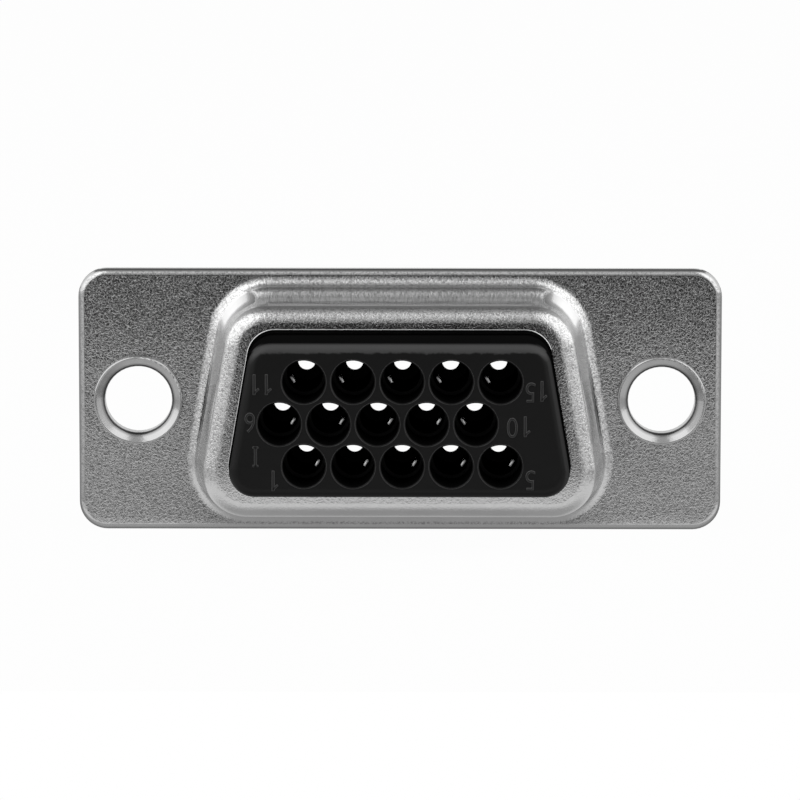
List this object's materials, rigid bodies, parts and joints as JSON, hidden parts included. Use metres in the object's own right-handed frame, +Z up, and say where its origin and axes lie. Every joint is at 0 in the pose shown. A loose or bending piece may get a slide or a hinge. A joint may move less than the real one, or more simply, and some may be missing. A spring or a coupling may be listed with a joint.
{
  "type": "crimp connector housing",
  "caption": "D-shaped plug housing with a moulded insulator full of stepped contact cavities, held between two drawn steel shells that eyelets rivet together.",
  "frame": {"origin": "middle of the line between the two mounting holes, on the plane where the two flanges meet", "axes": "+X along the flange, +Y the way the mating rim points, +Z up towards the narrow side of the D; the wire side faces -Y"},
  "size_m": [0.0308, 0.0141, 0.0126],
  "materials": {
    "plated_steel": "tin-plated drawn steel, crinkled satin flats and smooth drawn walls",
    "black_polyester": "moulded, fine matt",
    "eyelet_metal": "plated, smooth and bright"
  },
  "bodies": {
    "root": {"front_shell": "plated_steel", "rear_shell": "plated_steel", "insulator": "black_polyester", "eyelets": "eyelet_metal"}
  },
  "joints": []
}
